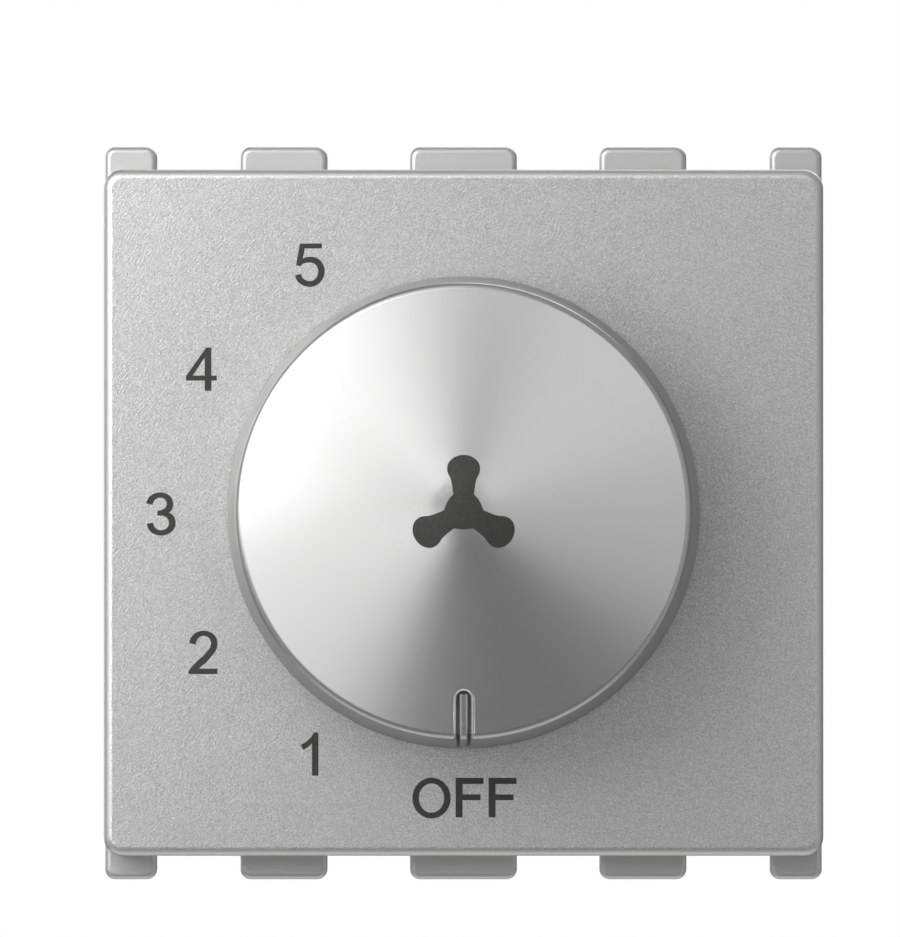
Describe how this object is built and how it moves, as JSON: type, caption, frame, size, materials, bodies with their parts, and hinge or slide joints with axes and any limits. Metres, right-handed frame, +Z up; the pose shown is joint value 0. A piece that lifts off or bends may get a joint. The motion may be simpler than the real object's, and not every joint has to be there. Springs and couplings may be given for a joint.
{
  "type": "fan speed control switch",
  "caption": "Silver modular wall insert with a round shallow-cone dial that steps a ceiling fan from off to full speed, tabs for a mounting frame and a capacitor box behind.",
  "frame": {"origin": "on the dial's axis, in the plane of the tabs' rear faces, where the insert rests on the mounting frame", "axes": "+X to the right as seen from the front, +Y from the face into the wall, +Z up"},
  "size_m": [0.045, 0.047, 0.0458],
  "materials": {
    "silver_face": "silver metallic lacquer over a fine moulded grain",
    "silver_dial": "smooth silver metallic lacquer",
    "plated_steel": "zinc plated",
    "black_plastic": "moulded, matt",
    "spindle_metal": "turned",
    "white_plastic": "natural nylon",
    "bronze": "stamped",
    "brass": "stamped",
    "spring_steel": "rolled strip",
    "board": "paper laminate with a clear coat",
    "capacitor_case": "moulded box case",
    "series_coat": "lacquered",
    "bleed_coat": "lacquered",
    "housing_plastic": "moulded, fine spark texture"
  },
  "bodies": {
    "insert": {"front_cover": "silver_face", "housing": "housing_plastic", "switch_nut": "plated_steel", "lock_washer": "plated_steel", "switch_cover": "black_plastic", "switch_body": "black_plastic", "fixed_contacts": "brass", "common_contact": "brass", "detent_spring": "spring_steel", "switch_screws": "plated_steel", "pcb": "board", "pcb_screws": "plated_steel", "capacitor_large": "capacitor_case", "capacitor_small": "capacitor_case", "series_resistor_lower": "series_coat", "series_resistor_upper": "series_coat", "bleed_resistor_lower": "bleed_coat", "bleed_resistor_upper": "bleed_coat", "line_bar": "brass", "load_bar": "brass"},
    "dial": {"knob": "silver_dial", "spindle": "spindle_metal", "rotor": "white_plastic", "contact_bridge": "bronze"},
    "line_terminal_screw": {"line_screw": "plated_steel"},
    "line_terminal_clamp": {"line_clamp": "plated_steel"},
    "load_terminal_screw": {"load_screw": "plated_steel"},
    "load_terminal_clamp": {"load_clamp": "plated_steel"}
  },
  "joints": [
    {"name": "dial_turn", "type": "hinge", "parent": "insert", "child": "dial", "pos_m": [0, 0, 0], "axis": [0, 1, 0], "range_deg": [0, 150], "deforming": ["detent_spring"]},
    {"name": "line_screw_turn", "type": "hinge", "parent": "insert", "child": "line_terminal_screw", "pos_m": [-0.0055, 0.02, -0.01535], "axis": [0, -1, 0], "range_deg": [0, 1802]},
    {"name": "line_clamp_rise", "type": "slide", "parent": "insert", "child": "line_terminal_clamp", "axis": [0, 1, 0], "range_m": [0, 0.003]},
    {"name": "load_screw_turn", "type": "hinge", "parent": "insert", "child": "load_terminal_screw", "pos_m": [0.0055, 0.02, -0.01535], "axis": [0, -1, 0], "range_deg": [0, 1802]},
    {"name": "load_clamp_rise", "type": "slide", "parent": "insert", "child": "load_terminal_clamp", "axis": [0, 1, 0], "range_m": [0, 0.003]}
  ],
  "couplings": [
    {"joint": "line_screw_turn", "follows": "line_clamp_rise", "rad_per_m": 10472},
    {"joint": "load_screw_turn", "follows": "load_clamp_rise", "rad_per_m": 10472}
  ]
}
